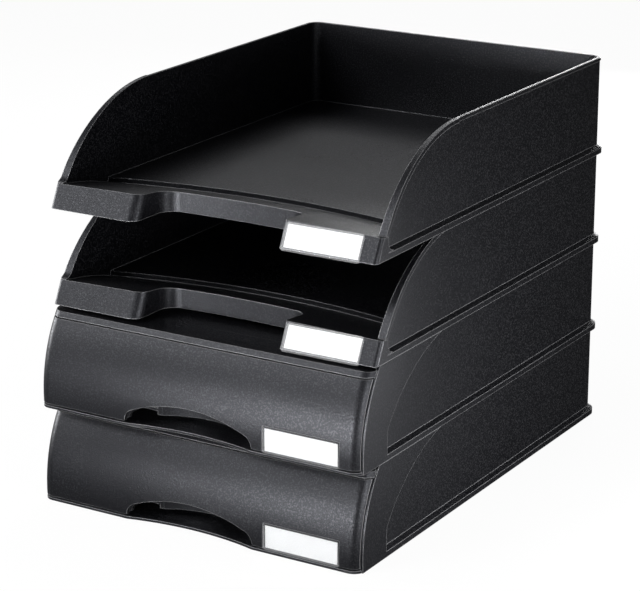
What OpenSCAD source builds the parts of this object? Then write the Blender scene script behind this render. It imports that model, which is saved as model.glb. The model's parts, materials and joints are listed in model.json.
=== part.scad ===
// Letter tray stack: two open letter trays stand on two drawer units.
// X runs across the front, Y from the front to the back and Z up.
// Every level is drawn with its tray front at y = 0 and its base at z = 0,
// and place() then lifts it to its place in the stack.

/* [Level] */
// Width of a level over its side flanges
level_w = 255; // [245:1:275]
// Depth of a level from the tray front to the rear flange
level_d = 340; // [325:1:370]
// Height from one level to the next
pitch = 68; // [66:1:80]
// Height of a wall's foot above the base, which is how deep the rim below nests
nest = 3; // [2.5:0.1:3.6]
// Radius of the rear corners, measured on the flange
corner_r = 12.6; // [10:0.2:20]

/* [Walls] */
// Thickness of the side walls and the rear wall
wall = 2.2; // [1.8:0.1:2.8]
// How far the flange stands out from the wall
flange_out = 3.4; // [3:0.1:4.4]
// Height of the flange's upright edge
flange_h = 4; // [3:0.1:5]
// Height of the slope from the flange's edge up to the wall
flange_rise = 2.2; // [1:0.1:4]
// Thickness of the skirt below the flange
skirt = 1.6; // [1.2:0.1:1.8]
// Radius of the bead along the rim
bead_r = 1.2; // [0.8:0.1:1.5]
// How far the bead stands out from the wall
bead_out = 0.8; // [0.4:0.1:1]

/* [Side curve] */
// Distance behind the tray front at which the curve reaches the rim
sweep_y = 112; // [95:1:140]
// Radius of the long upper part of the curve
sweep_r = 120; // [105:1:150]
// Radius of the steep lower part of the curve
foot_r = 105; // [100:1:110]
// Slope at which the two parts meet
sweep_a = 40; // [37:1:42]

/* [Tray] */
// Thickness of the tray floor
floor_t = 2; // [1.6:0.1:2.4]
// Height of the tray floor's top
floor_z = 9; // [8:0.1:10]
// Distance behind the tray front of the floor's front edge, on the middle
floor_y = 76; // [70:1:84]
// Radius of the floor's front edge
floor_r = 460; // [400:5:700]
// Height of the front lip's outer edge
lip_h = 16.5; // [15:0.1:19]
// Radius of the lip's crown from front to back
crown_r = 270; // [200:5:400]
// Height of the lip where it meets the floor's riser
ledge_z = 5.4; // [4.6:0.1:6]
// How far the lip's front leans back over its height
lean = 8; // [5:0.5:10]
// Thickness of the lip's shell
shell = 2.2; // [1.8:0.1:2.8]
// Radius of the lip's outer corners
block_r = 2.8; // [2.6:0.1:4]
// Distance behind the tray front at which the side wall's recess starts
side_y = 15; // [14.5:0.1:16]
// Radius of the toe on which the side wall stands on the lip
toe_r = 8; // [6:0.5:8]
// Depth of the rib along the side wall's curved edge
rib_d = 3; // [2:0.5:6]
// Height above which that rib thins towards the rim
rib_z = 24; // [20:1:30]

/* [Scoop] */
// Middle of the scoop across the tray
scoop_x = -1.5; // [-8:0.5:8]
// Half of the scoop's width at the base
scoop_half = 56; // [46:0.5:56]
// Depth of the scoop behind the tray front
scoop_d = 38; // [32:0.5:44]
// How much deeper the middle of the scoop is
scoop_bow = 1.6; // [0:0.1:4]
// Radius of the corners where the scoop leaves the front
scoop_out_r = 8; // [5:0.5:10]
// Radius of the scoop's outer corner beside the label
scoop_card_r = 2.6; // [2.6:0.1:5]
// Radius of the corners at the back of the scoop
scoop_in_r = 12; // [8:0.5:14]

/* [Drawer unit] */
// How far the drawer's front stands ahead of the tray fronts
bulge = 20; // [16:0.5:24]
// Radius of the drawer front's upright curve
front_r = 102; // [90:1:110]
// Height of the middle of that curve
front_cz = 8; // [6:0.5:12]
// Radius of the drawer front's corners in plan
front_corner = 9; // [7:0.5:9]
// Depth of the drawer front's sides
front_side = 4; // [3.6:0.1:6]
// Thickness of the case floor
case_floor = 1.8; // [1.4:0.1:2]
// Thickness of the base strip under the drawer front
base_t = 1.8; // [1.4:0.1:2.2]
// Bottom of the drawer front
front_bottom = 3.3; // [2.9:0.1:4]
// Gap between the top of the drawer front and the lintel
front_gap = 0.8; // [0.4:0.1:1.2]
// Height of the lintel
lintel_h = 3.7; // [3:0.1:4.4]
// How far the lintel's top lies below the next level
lintel_drop = 3; // [2.4:0.1:4]
// Distance behind the tray front of the lintel's rear edge
lintel_y = 20; // [19:0.5:26]
// Thickness of the cover
cover_t = 2.2; // [1.6:0.1:2.4]
// Thickness of the ledge that carries the cover
ledge_t = 2.2; // [1.6:0.1:2.6]
// Width of the cover's ledge
ledge_w = 2; // [1.6:0.1:2.2]
// Height of the two runners on the case floor
runner_h = 1.4; // [1:0.1:1.6]
// Width of a runner
runner_w = 6; // [4:0.5:9]
// Distance of a runner's middle from the side wall's inner face
runner_in = 13.9; // [11.9:0.1:31.9]
// Depth of the shallow finger recess in the base strip
base_recess = 6.5; // [3:0.5:8]

/* [Drawer] */
// Thickness of the drawer's walls and floor
drawer_t = 2; // [1.6:0.1:2.4]
// Gap between the drawer and the case on each side
side_gap = 0.8; // [0.5:0.1:1.2]
// Gap between the drawer and its runners
runner_gap = 0.3; // [0.2:0.1:0.5]
// Height of the drawer's walls above the base
drawer_top = 54; // [40:1:55]
// Gap between the drawer's rear wall and the case
rear_gap = 5; // [2:0.5:10]
// Thickness of the drawer's front
front_t = 3; // [2.6:0.1:3.4]
// How far the drawer travels
travel = 255; // [150:5:260]
// Width of a stop lug
stop_w = 8; // [5:0.5:12]
// Depth of a stop lug from front to back
stop_d = 3; // [2:0.5:5]
// How far a stop lug rises above the drawer's wall
stop_rise = 5; // [4:0.1:5.4]
// Gap between drawer parts and case parts that must pass or meet
pass_gap = 0.3; // [0.2:0.05:0.5]

/* [Finger opening] */
// Middle of the finger opening across the drawer
arch_x = -5; // [-10:0.5:0]
// Half of the opening's width
arch_half = 50.5; // [40:0.5:52]
// Height of the opening's crown above the base
arch_top = 20.7; // [18:0.1:24]
// Radius of the opening's crown
arch_r = 117; // [100:1:160]
// Radius of the opening's corners
arch_corner = 9; // [6:0.5:10]
// Depth of the finger pocket behind the drawer front
pocket_d = 26; // [20:0.5:30]

/* [Labels] */
// Width of a label card
card_w = 55; // [40:1:56]
// Height of a label card
card_h = 15.4; // [10:0.1:15.6]
// Thickness of a label card
card_t = 0.4; // [0.2:0.05:0.5]
// Thickness of a holder's window
window_t = 0.9; // [0.6:0.1:1]
// Width of a holder's rim around the card
rim_w = 1.3; // [1:0.1:1.5]
// Width of the rim below the card on a drawer
drawer_rim = 0.5; // [0.3:0.1:1]
// Radius of the corners of a holder
holder_r = 2; // [1:0.5:2.5]
// Thickness of the foot that turns under a front
foot_t = 0.7; // [0.5:0.1:0.9]
// How far the foot reaches behind the edge it clips on
foot_d = 2.4; // [2:0.1:3]
// Height of the hook behind the tray front
hook_h = 3; // [2:0.5:6]
// Distance of a label's middle from the side on a drawer front
drawer_label_in = 44.5; // [41.5:0.5:47.5]
// Distance of a label's middle from the side on a tray front
tray_label_in = 41.5; // [39.5:0.5:43.5]
// Play between a label holder and the recess that takes it
label_gap = 0.3; // [0.1:0.05:0.5]

/* [Hidden] */
$fn = 96;

half_w = level_w / 2;
level_h = pitch + nest;
wall_in = flange_out + wall;          // inner face of a wall, from the flange
wall_mid = flange_out + wall / 2;     // middle of a wall, from the flange
inner_x = half_w - wall_in;           // inner face of a side wall
proud_in = half_w - shell;            // inner face of the case's proud cheek
bite = 0.6;                           // overlap of shapes that become one piece
seam = 0.1;                           // offset that keeps joined faces apart
big = 2 * level_d;

// Circles of the side curve, given as y and z
sweep_c = [sweep_y, level_h - sweep_r];
join = sweep_c + sweep_r * [-sin(sweep_a), cos(sweep_a)];
foot_c = join + foot_r * [sin(sweep_a), -cos(sweep_a)];

// The drawer front's curve turns about an axis along X
front_cy = front_r - bulge;
lintel_top = pitch - lintel_drop;
front_top = lintel_top - lintel_h - front_gap;
front_in = front_r - front_t;
front_back = front_r - front_side;    // rear edge of the drawer front's sides
base_y = side_y + 1;                  // rear end of the base strip

case_floor_top = nest + case_floor;
drawer_floor = case_floor_top + runner_h + runner_gap;
drawer_x = inner_x - side_gap;
runner_x = inner_x - runner_in;
drawer_label_x = half_w - drawer_label_in;
tray_label_x = half_w - tray_label_in;
drawer_rear = level_d - wall_in - rear_gap;
cover_top = lintel_top - 0.8;
cover_bottom = cover_top - cover_t;
ledge_x = inner_x - ledge_w;
stop_top = drawer_top + stop_rise;
stop_rib = stop_top - 1.6;            // bottom of the ribs that catch the lugs
stop_x = drawer_x - drawer_t - stop_w / 2 - pass_gap;
stop_y = base_y + 1;                  // front of the case's stop ribs
lug_y = stop_y + stop_d + travel + pass_gap;

lip_slope = atan(lean / lip_h);
window_h = drawer_rim + card_h + rim_w;
window_w = card_w + 2 * rim_w;
recess_t = card_t + window_t + 0.1;

// The lip's crown is an arc of radius crown_r that passes through the edge of
// the lip in front and the foot of the riser behind. Both are given as a
// distance from the axis of the floor's front edge and a height.
crown_front = [norm([half_w * 0.75, floor_r - floor_y + lean]), lip_h];
crown_rear = [floor_r, ledge_z];
crown_half = norm(crown_rear - crown_front) / 2;
crown_dir = (crown_rear - crown_front) / (2 * crown_half);
crown_c = (crown_front + crown_rear) / 2
    + sqrt(crown_r * crown_r - crown_half * crown_half) * [crown_dir.y, -crown_dir.x];

// Moves what is drawn for one level to its place in the stack
module place(level) {
    translate([0, (bulge - level_d) / 2, level * pitch]) children();
}

// ---------------------------------------------------------------- walls

// Plan of a level, drawn in from its outline, from y = front to the rear
module plan(inset, front) {
    w = half_w - inset;
    r = corner_r - inset;
    back = level_d - inset;
    translate([-w, front]) square([2 * w, back - r - front]);
    translate([r - w, front]) square([2 * (w - r), back - front]);
    for (s = [-1, 1]) translate([s * (w - r), back - r]) circle(r = r);
}

// Takes a section (x: minus the distance in from the outline, y: height)
// along both sides and the rear of a level
module around(front) {
    side = level_d - corner_r - front;
    for (m = [0, 1]) mirror([m, 0, 0]) {
        translate([half_w, level_d - corner_r, 0])
            rotate([90, 0, 0]) linear_extrude(side) children();
        translate([half_w - corner_r, level_d - corner_r, 0])
            rotate_extrude(angle = 90) translate([corner_r, 0]) children();
    }
    translate([corner_r - half_w, level_d, 0])
        rotate([90, 0, 90]) linear_extrude(level_w - 2 * corner_r) children();
}

// Section of the wall, with its foot, flange, skirt and beaded rim
module wall_section() {
    polygon([
        [0, 0], [0, flange_h], [-flange_out, flange_h + flange_rise],
        [-flange_out, level_h - bead_r], [-wall_in, level_h],
        [-wall_in, nest], [-skirt, nest], [-skirt, 0]
    ]);
    translate([-wall_in, level_h - 2 * bead_r])
        square([wall + bead_out - bead_r, 2 * bead_r]);
    translate([bead_out - bead_r - flange_out, level_h - bead_r - 0.1])
        circle(r = bead_r);
}

// Side view (x: depth, y: height) of all that lies behind the side curve,
// with the curve moved forward by extra
module behind_curve(extra = 0) {
    upper = sweep_r + extra;
    lower = foot_r + extra;
    cut = sweep_c.x - upper * sin(sweep_a);
    translate([sweep_y - bite, 0]) square([level_d, level_h + extra]);
    intersection() {
        translate(sweep_c) circle(r = upper, $fn = 180);
        translate([cut, 0]) square([sweep_y - cut, big]);
    }
    intersection() {
        translate(foot_c) circle(r = lower, $fn = 180);
        square([cut + 0.01, big]);
    }
}

// Turns a side view into a solid between two positions across the level
module across(x0, x1) {
    translate([x0, 0, 0]) rotate([90, 0, 90]) linear_extrude(x1 - x0) children();
}

// ---------------------------------------------------------------- tray

// Front of the lip as an upright bar that leans back, with rounded outer corners
module leaning_bar(in) {
    w = half_w - in;
    r = block_r - in;
    reach = 2 * floor_y;
    rotate([-lip_slope, 0, 0]) translate([0, 0, -lip_h]) linear_extrude(4 * lip_h) {
        translate([-w, in + r]) square([2 * w, reach]);
        translate([r - w, in]) square([2 * (w - r), reach]);
        for (s = [-1, 1]) translate([s * (w - r), in + r]) circle(r = r);
    }
}

// Rounded corner at the mouth of the scoop, which leans with the front
module scoop_corner(in, side, r) {
    translate([scoop_x, 0, 0]) rotate([-lip_slope, 0, 0]) translate([0, 0, -lip_h])
        linear_extrude(4 * lip_h) scale([side, 1]) difference() {
            translate([scoop_half, -lip_h] - [2 * seam, 0])
                square([r + seam, lip_h + r]);
            translate([scoop_half + r - seam, r]) circle(r = r - in);
        }
}

// Space of the scoop: upright, with a bowed back and a mouth that leans
module scoop(in) {
    half = scoop_half + in;
    r = scoop_in_r + in;
    back = scoop_d + in;
    flat = half - r;
    bow_r = (flat * flat + scoop_bow * scoop_bow) / (2 * scoop_bow);
    translate([scoop_x, 0, -lip_h]) linear_extrude(4 * lip_h) {
        translate([-half, -lip_h]) square([2 * half, lip_h + back - r]);
        translate([-flat, 0]) square([2 * flat, back]);
        for (s = [-1, 1]) translate([s * flat, back - r]) circle(r = r);
        intersection() {
            translate([0, back + scoop_bow - bow_r]) circle(r = bow_r, $fn = 720);
            translate([-flat, 0]) square([2 * flat, 2 * back]);
        }
    }
    scoop_corner(in, -1, scoop_out_r);
    scoop_corner(in, 1, scoop_card_r);
}

// Space under the lip's crown: the crown is a ring about the same axis as the
// floor's front edge, so that it meets the riser at one height all along
module below_crown(down, low) {
    translate([0, floor_y - floor_r, 0]) rotate_extrude($fn = 360) intersection() {
        translate([crown_c.x, crown_c.y - down]) circle(r = crown_r, $fn = 360);
        translate([floor_r / 2, low]) square([floor_r, lip_h - low + floor_z]);
    }
}

// Plan of the lip from one side wall to the other, back to the floor's riser
module lip_plan(in, gap) {
    translate([in - half_w, -1]) square([level_w - 2 * in, side_y + 1 - in]);
    intersection() {
        translate([gap - half_w, -1]) square([level_w - 2 * gap, floor_y + 2]);
        translate([0, floor_y - floor_r])
            circle(r = floor_r + (in > 0 ? 0 : shell / 2), $fn = 360);
    }
}

// Solid of the lip, or with in set to the shell's thickness the hollow in it
module lip_solid(in, gap) {
    low = in > 0 ? -1 : 0;
    intersection() {
        leaning_bar(in);
        below_crown(in, low);
        translate([0, 0, low]) linear_extrude(3 * lip_h) lip_plan(in, gap);
    }
}

// The front lip: a thin shell whose front leans back, with a scoop to take hold
// of the paper and a crown that falls to the floor's riser
module front_lip() {
    difference() {
        lip_solid(0, wall_mid);
        difference() {
            lip_solid(shell, wall_in);
            scoop(shell);
        }
        scoop(0);
    }
}

// Floor with its curved front edge and the riser down to the lip
module tray_floor() {
    riser_z = ledge_z - shell - 0.8;
    translate([0, 0, floor_z - floor_t]) linear_extrude(floor_t) difference() {
        plan(wall_mid, side_y);
        translate([0, floor_y - floor_r]) circle(r = floor_r, $fn = 360);
    }
    translate([0, 0, riser_z]) linear_extrude(floor_z - riser_z) intersection() {
        plan(wall_mid, side_y);
        difference() {
            translate([0, floor_y - floor_r]) circle(r = floor_r + shell, $fn = 360);
            translate([0, floor_y - floor_r]) circle(r = floor_r, $fn = 360);
        }
    }
}

// Web that closes the step from the flange up to the front block
module recess_corner() {
    r = 6;
    z = flange_h + flange_rise / 2;
    for (m = [0, 1]) mirror([m, 0, 0]) across(half_w - wall_mid, half_w)
        difference() {
            translate([side_y - bite, z - bite]) square(r + bite);
            translate([side_y + r, z + r]) circle(r = r);
        }
}

// Walls cut to the side curve, standing on the lip at the front
module tray_walls() {
    intersection() {
        around(lean + 2) wall_section();
        across(-half_w - 1, half_w + 1) difference() {
            behind_curve();
            translate([0, -1]) square([side_y - bite, lip_h - shell - 1]);
        }
    }
}

// Toe: the hollow curve in which the wall's front edge runs out on the lip
module wall_toe() {
    y = foot_c.x - sqrt(pow(foot_r + toe_r, 2) - pow(lip_h + toe_r - foot_c.y, 2));
    reach = (foot_c.x - y) * toe_r / (foot_r + toe_r);
    rise = toe_r - (lip_h + toe_r - foot_c.y) * toe_r / (foot_r + toe_r);
    intersection() {
        leaning_bar(0);
        for (m = [0, 1]) mirror([m, 0, 0]) across(inner_x, half_w) difference() {
            translate([y, lip_h - bite]) square([reach + bite / 2, rise + bite]);
            translate([y, lip_h + toe_r]) circle(r = toe_r);
        }
    }
}

// Rib that thickens the wall along its curved edge, down to the lip
module edge_rib() {
    tilt = atan((flange_out - bead_out) / (level_h - bead_r - rib_z));
    for (m = [0, 1]) mirror([m, 0, 0]) intersection() {
        across(half_w - wall_mid, half_w) intersection() {
            difference() {
                behind_curve();
                behind_curve(-rib_d);
            }
            translate([0, lip_h - shell / 2]) square([sweep_y - bite, level_h]);
        }
        translate([half_w, 0, rib_z]) rotate([0, -tilt, 0])
            translate([-corner_r, -1, -level_h])
                cube([corner_r, sweep_y + 2, 3 * level_h]);
    }
}

module tray() {
    color([0.10, 0.10, 0.11]) union() {
        tray_walls();
        wall_toe();
        edge_rib();
        tray_floor();
        front_lip();
        recess_corner();
    }
}

// ---------------------------------------------------------------- case

// Ring about the drawer front's axis, from one radius to another, with corners
module barrel(r_in, r_out, half, corner) {
    translate([0, front_cy, front_cz]) rotate([0, 90, 0]) rotate_extrude()
        intersection() {
            translate([r_in, -half]) square([r_out - r_in, 2 * half]);
            union() {
                translate([0, -half]) square([r_out - corner, 2 * half]);
                translate([0, corner - half]) square([r_out, 2 * (half - corner)]);
                for (s = [-1, 1])
                    translate([r_out - corner, s * (half - corner)])
                        circle(r = corner);
            }
        }
}

// Block over the whole width between two heights, in front of y = back
module slab(z0, z1, back) {
    translate([-half_w - 1, -bulge - 1, z0])
        cube([level_w + 2, back + bulge + 1, z1 - z0]);
}

// Side view of the recessed side wall, with its front edge moved by extra
module recess_side(extra = 0) {
    intersection() {
        behind_curve(extra);
        translate([side_y - extra, 0]) square([level_d, big]);
    }
}

// Cheek: the case's side ahead of the recessed wall, flush with the flange, and
// the web that joins the two
module cheek() {
    across(proud_in, half_w) intersection() {
        difference() {
            translate([front_cy, front_cz])
                circle(r = front_back - front_gap, $fn = 180);
            recess_side(-bite);
        }
        translate([-bulge, 0]) square([sweep_y, pitch]);
    }
    across(inner_x, half_w) intersection() {
        difference() {
            recess_side(shell);
            recess_side();
        }
        translate([0, nest]) square([sweep_y - bite, pitch - nest]);
    }
}

// Strip under the drawer front, with its shallow finger recess and its riser
module case_base() {
    r = (arch_half * arch_half + base_recess * base_recess) / (2 * base_recess);
    front = front_cy - sqrt(pow(front_r, 2) - pow(front_cz - base_t, 2));
    linear_extrude(base_t) difference() {
        union() {
            translate([-half_w, front + front_corner])
                square([level_w, base_y - front - front_corner]);
            translate([front_corner - half_w, front])
                square([level_w - 2 * front_corner, base_y - front]);
            for (s = [-1, 1])
                translate([s * (half_w - front_corner), front + front_corner])
                    circle(r = front_corner);
        }
        translate([arch_x, front + base_recess - r]) circle(r = r, $fn = 180);
    }
    translate([-proud_in - bite, base_y - wall, 0])
        cube([2 * (proud_in + bite), wall, case_floor_top]);
}

// Floor with the two runners that carry the drawer
module case_bottom() {
    translate([0, 0, nest]) linear_extrude(case_floor) plan(wall_mid, base_y - bite);
    for (s = [-1, 1])
        translate([s * runner_x - runner_w / 2, base_y, case_floor_top - bite])
            cube([runner_w, drawer_rear - base_y, runner_h + bite]);
}

// Lintel over the drawer front, with the two ribs that stop the drawer
module lintel() {
    intersection() {
        barrel(lintel_top - lintel_h - front_cz - bite, front_r, half_w, front_corner);
        slab(lintel_top - lintel_h, lintel_top, lintel_y);
    }
    for (s = [-1, 1])
        translate([s * stop_x - stop_w / 2, stop_y, stop_rib])
            cube([stop_w, stop_d, lintel_top - lintel_h / 2 - stop_rib]);
}

// Ledges along the sides and the rear that carry the cover
module cover_ledges() {
    translate([0, 0, cover_bottom - ledge_t]) linear_extrude(ledge_t) difference() {
        plan(wall_mid, base_y + 2);
        plan(wall_in + ledge_w, base_y - 1);
    }
    reach = sweep_c.x - sqrt(pow(sweep_r, 2) - pow(cover_bottom - sweep_c.y, 2));
    for (s = [0, 1]) mirror([s, 0, 0])
        translate([ledge_x, base_y + 2, cover_bottom - ledge_t])
            cube([proud_in + bite - ledge_x, reach - base_y - 2, ledge_t]);
}

module unit_case() {
    color([0.09, 0.09, 0.10]) union() {
        intersection() {
            around(side_y - bite) wall_section();
            across(-half_w - 1, half_w + 1) behind_curve();
        }
        cheek();
        case_base();
        case_bottom();
        lintel();
        cover_ledges();
    }
}

// Panel that drops between the walls and closes the case from above
module unit_cover() {
    color([0.12, 0.12, 0.13]) translate([0, 0, cover_bottom])
        linear_extrude(cover_t) plan(wall_in + pass_gap, lintel_y + pass_gap);
}

// ---------------------------------------------------------------- drawer

// Outline of the finger opening, seen from the front: a wide crown that runs
// into rounded corners and upright sides
module arch() {
    c = arch_top - arch_r;
    side = arch_half - arch_corner;
    k = c + sqrt(pow(arch_r - arch_corner, 2) - side * side);
    turn = asin(side / (arch_r - arch_corner));
    polygon(concat(
        [[-arch_half, -pitch]],
        [for (a = [180 : -8 : 94 + turn]) [arch_corner * cos(a) - side, k + arch_corner * sin(a)]],
        [for (t = [-1 : 0.1 : 1]) [arch_r * sin(t * turn), c + arch_r * cos(t * turn)]],
        [for (a = [82 - turn : -8 : 0]) [arch_corner * cos(a) + side, k + arch_corner * sin(a)]],
        [[arch_half, k], [arch_half, -pitch]]
    ));
}

// Upright cylinder whose front part is the finger pocket's wall
module pocket(r, z0, z1) {
    front = -bulge + front_t;
    wide = arch_half + drawer_t;
    round = (wide * wide + pocket_d * pocket_d) / (2 * pocket_d);
    translate([arch_x, front + pocket_d - round, z0])
        cylinder(r = round + r, h = z1 - z0, $fn = 180);
}

// Side view of the space behind the drawer front's outer face
module behind_front(r, z0, z1, back) {
    intersection() {
        union() {
            translate([front_cy, front_cz]) circle(r = r, $fn = 180);
            translate([front_cy, -pitch]) square([level_d, 3 * pitch]);
        }
        translate([-bulge, z0]) square([back + bulge, z1 - z0]);
    }
}

// Outer front with rounded corners, closed at the top and the bottom
module drawer_front() {
    difference() {
        intersection() {
            barrel(front_back, front_r, half_w, front_corner);
            slab(front_bottom, front_top, front_cy / 2);
        }
        intersection() {
            barrel(front_back - 1, front_in, half_w - front_t, front_corner - front_t);
            slab(drawer_floor + bite, front_top - front_t, front_cy / 2);
        }
    }
}

// Floor, side walls and rear wall of the drawer, without the front
module drawer_box() {
    floor_top = drawer_floor + drawer_t;
    skin = front_in + front_t / 2;
    across(-drawer_x, drawer_x)
        behind_front(skin, drawer_floor, floor_top, drawer_rear);
    for (m = [0, 1]) mirror([m, 0, 0])
        across(drawer_x - drawer_t, drawer_x)
            behind_front(skin, drawer_floor, drawer_top, drawer_rear);
    translate([-drawer_x, drawer_rear - drawer_t, drawer_floor])
        cube([2 * drawer_x, drawer_t, drawer_top - drawer_floor]);
    for (s = [-1, 1]) {
        inner = stop_x - stop_w / 2;
        x = s > 0 ? inner : -drawer_x;
        translate([x, lug_y, drawer_top - stop_rise])
            cube([drawer_x - inner, stop_d, stop_rise + bite]);
        translate([s * stop_x - stop_w / 2, lug_y, drawer_top])
            cube([stop_w, stop_d, stop_rise]);
    }
}

module unit_drawer() {
    roof = arch_top + 3;
    color([0.11, 0.11, 0.12]) difference() {
        union() {
            drawer_front();
            drawer_box();
            intersection() {
                pocket(drawer_t, front_bottom, roof + drawer_t);
                across(bite - drawer_x, drawer_x - bite)
                    behind_front(front_in + front_t / 3, front_bottom + bite, pitch,
                        level_d);
            }
        }
        intersection() {
            pocket(0, -1, roof);
            across(1 - drawer_x, drawer_x - 1)
                behind_front(front_in + seam, -1, pitch, level_d);
        }
        translate([arch_x, 0, 0]) rotate([90, 0, 0])
            linear_extrude(bulge + 1) arch();
        drawer_label_recess();
    }
}

// ---------------------------------------------------------------- labels

// Flat recess in the drawer front, open at its bottom edge
module drawer_label_recess() {
    w = window_w + 2 * label_gap;
    translate([drawer_label_x - w / 2, -bulge - 1, -1])
        cube([w, 1 + recess_t, 1 + front_bottom + window_h + label_gap]);
}

// Window with a rim, drawn upright with the card's back at y = 0. Its rim is
// low at the bottom edge, and the card lies behind the window.
module holder_window(low) {
    corner = holder_r;
    x = window_w / 2;
    h = low + card_h + rim_w;
    play = card_t / 4;
    sunk = foot_t / 2;
    difference() {
        rotate([90, 0, 0]) linear_extrude(card_t + window_t) {
            translate([-x, -sunk]) square([window_w, h - corner + sunk]);
            translate([corner - x, -sunk]) square([window_w - 2 * corner, h + sunk]);
            for (s = [-1, 1])
                translate([s * (x - corner), h - corner]) circle(r = corner);
        }
        translate([-card_w / 2 - play, -card_t - play, low - play])
            cube([card_w + 2 * play, card_t + 2 * play, card_h + 2 * play]);
    }
}

module card(low) {
    color([0.97, 0.97, 0.97]) translate([-card_w / 2, -card_t, low])
        cube([card_w, card_t, card_h]);
}

// A foot that turns under the front's edge, with a hook of its own height
module holder_foot(depth, thick, hook) {
    w = window_w - rim_w;
    translate([-w / 2, -card_t - window_t, -thick])
        cube([w, depth + card_t + window_t, thick]);
    translate([-w / 2, depth - thick, -thick]) cube([w, thick, hook + thick]);
}

// Puts an upright label on the drawer front
module on_drawer() {
    translate([drawer_label_x, recess_t - bulge, front_bottom]) children();
}

// Puts an upright label on the leaning tray front
module on_tray() {
    translate([tray_label_x, -seam, 0]) rotate([-lip_slope, 0, 0]) children();
}

module drawer_label_holder() {
    color([0.85, 0.88, 0.9, 0.5]) on_drawer() {
        holder_window(drawer_rim);
        holder_foot(foot_d, foot_t, 0);
    }
}

module drawer_label_card() {
    on_drawer() card(drawer_rim);
}

module tray_label_holder() {
    bar = (card_t + window_t) * 0.55;
    color([0.85, 0.88, 0.9, 0.5]) {
        on_tray() holder_window(rim_w);
        on_tray() translate([rim_w / 2 - window_w / 2 - seam, -bar - 0.15, 0])
            rotate([0, 90, 0]) cylinder(r = bar, h = window_w - rim_w + 2 * seam);
        translate([tray_label_x, 0, 0])
            holder_foot(shell + foot_d, foot_t, hook_h);
    }
}

module tray_label_card() {
    on_tray() card(rim_w);
}

// ---------------------------------------------------------------- stack

module lower_case() { place(0) unit_case(); }
module lower_case_cover() { place(0) unit_cover(); }
module lower_drawer() { place(0) unit_drawer(); }
module lower_drawer_label_holder() { place(0) drawer_label_holder(); }
module lower_drawer_label_card() { place(0) drawer_label_card(); }
module upper_case() { place(1) unit_case(); }
module upper_case_cover() { place(1) unit_cover(); }
module upper_drawer() { place(1) unit_drawer(); }
module upper_drawer_label_holder() { place(1) drawer_label_holder(); }
module upper_drawer_label_card() { place(1) drawer_label_card(); }
module lower_tray() { place(2) tray(); }
module lower_tray_label_holder() { place(2) tray_label_holder(); }
module lower_tray_label_card() { place(2) tray_label_card(); }
module upper_tray() { place(3) tray(); }
module upper_tray_label_holder() { place(3) tray_label_holder(); }
module upper_tray_label_card() { place(3) tray_label_card(); }

lower_case();
lower_case_cover();
lower_drawer();
lower_drawer_label_holder();
lower_drawer_label_card();
upper_case();
upper_case_cover();
upper_drawer();
upper_drawer_label_holder();
upper_drawer_label_card();
lower_tray();
lower_tray_label_holder();
lower_tray_label_card();
upper_tray();
upper_tray_label_holder();
upper_tray_label_card();
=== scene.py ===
"""Looks of the letter tray stack: materials, floor, light and camera."""

import json
import math

import bpy
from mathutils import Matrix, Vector


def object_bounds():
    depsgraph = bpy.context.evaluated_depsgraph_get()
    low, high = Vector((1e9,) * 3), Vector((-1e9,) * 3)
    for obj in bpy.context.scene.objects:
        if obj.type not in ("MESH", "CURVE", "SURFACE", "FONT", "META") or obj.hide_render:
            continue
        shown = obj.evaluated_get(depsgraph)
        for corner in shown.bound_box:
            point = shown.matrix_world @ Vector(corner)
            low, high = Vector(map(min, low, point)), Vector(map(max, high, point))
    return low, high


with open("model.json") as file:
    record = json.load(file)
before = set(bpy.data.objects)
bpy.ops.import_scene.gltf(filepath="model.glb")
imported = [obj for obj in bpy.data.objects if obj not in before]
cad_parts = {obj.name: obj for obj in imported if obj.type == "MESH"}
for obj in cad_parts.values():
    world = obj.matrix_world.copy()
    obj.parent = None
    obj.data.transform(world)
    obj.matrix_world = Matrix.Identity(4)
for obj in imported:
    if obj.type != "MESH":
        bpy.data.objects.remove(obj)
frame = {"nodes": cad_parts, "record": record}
cad_lo, cad_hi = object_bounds()
NODES = frame["nodes"]
SCENE = bpy.context.scene

# Colours of the black plastic between the grain's specks, of the specks, and of the painted
# highlight on the edges
BLACK = (0.0004, 0.0005, 0.0014)
SPECK = (0.026, 0.026, 0.029)
PAINTED_EDGE_HIGHLIGHT = (0.32, 0.32, 0.33)

# Grain and specks of the plastic and fibre of the card, in features per metre
GRAIN_SCALE = 1050
SPECK_SCALE = 900
DRIFT_SCALE = 9
WINDOW_SCALE = 160
FIBRE_SCALE = 2600

# Radius, in metres, to which the plastic's edges are rounded in shading; it also sets the
# width of the painted edge highlight
EDGE_RADIUS = 0.0007

# Brightness of the floor and the sky where the camera meets them, where 1 is white,
# the share of that which a glossy ray meets, and the sky's own light on the object
FLOOR_GLOW = 0.95
SKY_GLOW = 0.97
GLOSS = 0.04
SKY_LIGHT = 0.03

# Floor: the length of a side, and how far it lies below the object's base
FLOOR_SIZE = 14
FLOOR_DROP = 0.0002

# Points at which the lamps are aimed
RIGHT = cad_hi[0]
MIDDLE = (0, 0, 0.12)
ABOVE_LIP = (0, -0.17, 0.26)
CORNER = (RIGHT, -0.16, 0.12)
LOW_CORNER = (RIGHT, -0.16, 0.07)

# Camera: its place, how far it looks down and turns to the left, and its lens
CAMERA_PLACE = (0.8553, -1.4294, 0.6519)
CAMERA_DOWN = 17.727
CAMERA_TURN = 31.217
FOCAL_PIXELS = 2449.5
PICTURE_PIXELS = 640
SENSOR = 36


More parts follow.
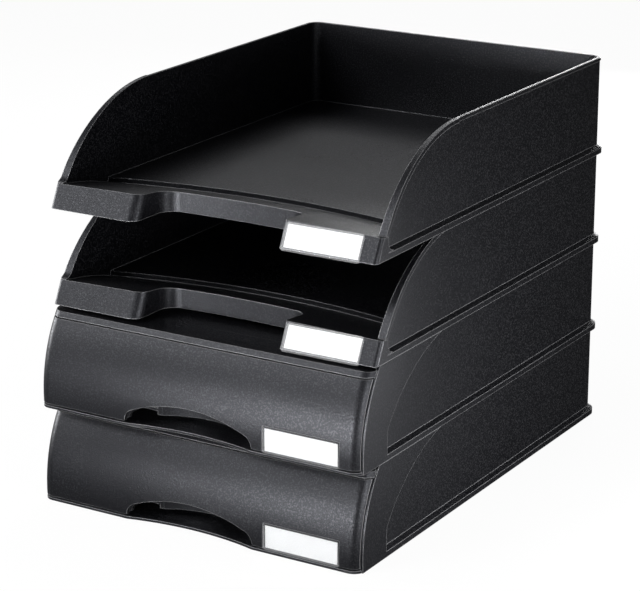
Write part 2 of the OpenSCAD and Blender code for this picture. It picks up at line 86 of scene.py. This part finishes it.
# ---------------------------------------------------------------- node helpers
class Tree:
    """Short calls for building one shader tree."""

    def __init__(self, owner):
        owner.use_nodes = True
        self.nodes = owner.node_tree.nodes
        self.links = owner.node_tree.links
        self.nodes.clear()

    def add(self, kind, **settings):
        node = self.nodes.new("ShaderNode" + kind)
        for name, value in settings.items():
            setattr(node, name, value)
        return node

    def put(self, node, **sockets):
        """Set the node's input sockets, with _ for each space in a name."""
        for name, value in sockets.items():
            node.inputs[name.replace("_", " ")].default_value = value
        return node

    def link(self, source, target):
        self.links.new(source, target)

    def noise(self, coordinates, scale, detail, roughness):
        node = self.add("TexNoise")
        self.put(node, Scale=scale, Detail=detail, Roughness=roughness)
        self.link(coordinates, node.inputs["Vector"])
        return node.outputs["Fac"]

    def ramp(self, value, low, high, out_low, out_high):
        node = self.add("MapRange")
        self.put(node, From_Min=low, From_Max=high, To_Min=out_low, To_Max=out_high)
        self.link(value, node.inputs["Value"])
        return node.outputs["Result"]

    def math(self, operation, first, second):
        """first and second are sockets, or second is a plain number."""
        node = self.add("Math", operation=operation)
        self.link(first, node.inputs[0])
        if isinstance(second, (int, float)):
            node.inputs[1].default_value = second
        else:
            self.link(second, node.inputs[1])
        return node.outputs[0]

    def blend(self, factor, first, second):
        node = self.add("Mix", data_type="RGBA")
        self.link(factor, node.inputs[0])
        node.inputs[6].default_value = (*first, 1)
        node.inputs[7].default_value = (*second, 1)
        return node.outputs[2]

    def sum_colours(self, first, second):
        node = self.add("Mix", data_type="RGBA", blend_type="ADD")
        node.inputs[0].default_value = 1
        self.link(first, node.inputs[6])
        self.link(second, node.inputs[7])
        return node.outputs[2]

    def bump(self, height, strength, distance, normal=None):
        node = self.add("Bump")
        self.put(node, Strength=strength, Distance=distance)
        self.link(height, node.inputs["Height"])
        if normal is not None:
            self.link(normal, node.inputs["Normal"])
        return node.outputs["Normal"]

    def place(self):
        return self.add("TexCoord").outputs["Object"]

    def finish(self, shader, kind="Material"):
        self.link(shader, self.add("Output" + kind).inputs["Surface"])

    def principled(self, **sockets):
        node = self.put(self.add("BsdfPrincipled"), **sockets)
        self.finish(node.outputs["BSDF"])
        return node


def new_material(name):
    material = bpy.data.materials.new(name)
    return material, Tree(material)


# ------------------------------------------------------------------- materials
def edge_mask(tree, rounded):
    """1 on the rounded edges, which get a painted highlight and a lower roughness, and 0 on
    the faces.
    """
    flat = tree.add("NewGeometry").outputs["True Normal"]
    dot = tree.add("VectorMath", operation="DOT_PRODUCT")
    tree.link(rounded, dot.inputs[0])
    tree.link(flat, dot.inputs[1])
    return tree.ramp(dot.outputs["Value"], 0.90, 0.995, 1, 0)


def black_plastic():
    """Moulded black polystyrene with a spark-eroded grain, smoother edges and a painted
    highlight on the edges.
    """
    material, tree = new_material("black_plastic_grained")
    shader = tree.principled(IOR=1.5, Specular_IOR_Level=0.5, Specular_Tint=(0.90, 0.92, 1, 1))
    place = tree.place()
    grain = tree.noise(place, GRAIN_SCALE, 1.0, 0.6)
    speck = tree.ramp(tree.noise(place, SPECK_SCALE, 2.0, 0.6), 0.51, 0.61, 0, 1)
    drift = tree.noise(place, DRIFT_SCALE, 2.0, 0.5)
    edge = tree.put(tree.add("Bevel", samples=6), Radius=EDGE_RADIUS).outputs["Normal"]
    mask = edge_mask(tree, edge)

    tone = tree.blend(speck, BLACK, SPECK)
    # Painted highlight: a light base colour on the edges stands in for the light they catch
    painted_highlight = tree.blend(mask, (0, 0, 0), PAINTED_EDGE_HIGHLIGHT)
    tree.link(tree.sum_colours(tone, painted_highlight), shader.inputs["Base Color"])

    patch = tree.ramp(drift, 0.3, 0.7, -0.02, 0.03)
    rough = tree.math("ADD", tree.ramp(speck, 0, 1, 0.40, 0.28), patch)
    smooth = tree.math("SUBTRACT", rough, tree.ramp(mask, 0, 1, 0, 0.14))
    tree.link(smooth, shader.inputs["Roughness"])
    tree.link(tree.bump(grain, 0.7, 0.0002, edge), shader.inputs["Normal"])
    return material


def clear_plastic():
    """Glossy clear label window."""
    material, tree = new_material("clear_window")
    shader = tree.principled(
        Base_Color=(0.92, 0.93, 0.95, 1), Roughness=0.12, IOR=1.49, Alpha=0.16,
        Specular_IOR_Level=0.6,
    )
    wave = tree.noise(tree.place(), WINDOW_SCALE, 1.0, 0.5)
    tree.link(tree.bump(wave, 0.15, 0.0002), shader.inputs["Normal"])
    tree.link(tree.ramp(wave, 0.3, 0.7, 0.08, 0.16), shader.inputs["Roughness"])
    return material


def white_card():
    """Uncoated card with a faint fibre."""
    material, tree = new_material("white_card_paper")
    shader = tree.principled(Roughness=0.85, Specular_IOR_Level=0.3)
    fibre = tree.noise(tree.place(), FIBRE_SCALE, 3.0, 0.6)
    tone = tree.blend(fibre, (0.90, 0.905, 0.91), (0.96, 0.965, 0.97))
    tree.link(tone, shader.inputs["Base Color"])
    tree.link(tree.bump(fibre, 0.2, 0.00004), shader.inputs["Normal"])
    return material


def dress():
    """Give each node of the frame the material of its slot."""
    by_slot = {
        "black_plastic": black_plastic(),
        "clear_plastic": clear_plastic(),
        "white_card": white_card(),
    }
    for part in frame["record"]["subparts"]:
        node = NODES[part["node"]]
        material = by_slot[part["material_slot"]]
        if not node.material_slots:
            node.data.materials.append(material)
        for slot in node.material_slots:
            slot.material = material


# ----------------------------------------------------------------------- stage
def see_background(tree):
    """1 for camera and transmission rays, GLOSS for glossy ones, 0 for the others."""
    path = tree.add("LightPath")
    gloss = tree.math("MULTIPLY", path.outputs["Is Glossy Ray"], GLOSS)
    through = tree.math(
        "MAXIMUM", path.outputs["Is Camera Ray"], path.outputs["Is Transmission Ray"]
    )
    return tree.math("MAXIMUM", through, gloss)


def make_floor():
    """A pale floor that is nearly white to the camera and keeps a faint shadow."""
    bpy.ops.mesh.primitive_plane_add(size=FLOOR_SIZE, location=(0, 0, -FLOOR_DROP))
    floor = bpy.context.object
    floor.name = "floor"
    material, tree = new_material("pale_floor")
    diffuse = tree.put(tree.add("BsdfDiffuse"), Color=(0.06, 0.06, 0.06, 1))
    glow = tree.add("Emission")
    tree.link(tree.math("MULTIPLY", see_background(tree), FLOOR_GLOW), glow.inputs["Strength"])
    both = tree.add("AddShader")
    tree.link(diffuse.outputs[0], both.inputs[0])
    tree.link(glow.outputs[0], both.inputs[1])
    tree.finish(both.outputs[0])
    floor.data.materials.append(material)


def make_world():
    """White behind the object, and a weak cool light on it."""
    world = bpy.data.worlds.new("studio")
    SCENE.world = world
    tree = Tree(world)
    low = tree.put(tree.add("Background"), Color=(0.90, 0.94, 1.0, 1), Strength=SKY_LIGHT)
    white = tree.put(tree.add("Background"), Color=(1, 1, 1, 1), Strength=SKY_GLOW)
    mix = tree.add("MixShader")
    tree.link(see_background(tree), mix.inputs[0])
    tree.link(low.outputs[0], mix.inputs[1])
    tree.link(white.outputs[0], mix.inputs[2])
    tree.finish(mix.outputs[0], "World")


def soft_lamp(name, azimuth, elevation, distance, size, watts, target=MIDDLE, spread=180):
    """A rectangular lamp that faces target.

    Azimuth 0 is in front, and positive angles are to the right. Size is in metres,
    width and height, and spread in degrees.
    """
    a, e = math.radians(azimuth), math.radians(elevation)
    away = Vector((math.sin(a) * math.cos(e), -math.cos(a) * math.cos(e), math.sin(e)))
    data = bpy.data.lights.new(name, "AREA")
    data.shape = "RECTANGLE"
    data.size, data.size_y = size
    data.energy = watts
    data.spread = math.radians(spread)
    lamp = bpy.data.objects.new(name, data)
    lamp.location = Vector(target) + away * distance
    lamp.rotation_euler = (-away).to_track_quat("-Z", "Y").to_euler()
    lamp.visible_camera = False
    SCENE.collection.objects.link(lamp)


def make_lamps():
    soft_lamp("key", -34, 40, 1.8, (0.8, 1.0), 11)
    soft_lamp("low", -8, -15, 0.62, (0.4, 0.08), 1.2, ABOVE_LIP, spread=90)
    soft_lamp("left", -78, 12, 1.5, (0.7, 0.6), 16)
    soft_lamp("back", -150, 43, 1.9, (1.2, 0.8), 6.5)
    soft_lamp("side", 118, 0, 0.35, (0.16, 0.12), 1.1, LOW_CORNER)
    soft_lamp("rear", -166, 10, 1.3, (0.6, 0.4), 6)
    soft_lamp("fill", 60, 8, 0.5, (0.25, 0.4), 1.8, CORNER)


def make_camera():
    data = bpy.data.cameras.new("camera")
    data.sensor_fit = "HORIZONTAL"
    data.sensor_width = SENSOR
    data.lens = SENSOR * FOCAL_PIXELS / PICTURE_PIXELS
    data.clip_start, data.clip_end = 0.05, 60
    camera = bpy.data.objects.new("camera", data)
    camera.location = CAMERA_PLACE
    camera.rotation_euler = (math.radians(90 - CAMERA_DOWN), 0, math.radians(CAMERA_TURN))
    SCENE.collection.objects.link(camera)
    SCENE.camera = camera


make_camera()
make_floor()
make_world()
make_lamps()
dress()
SCENE.view_settings.view_transform = "Standard"
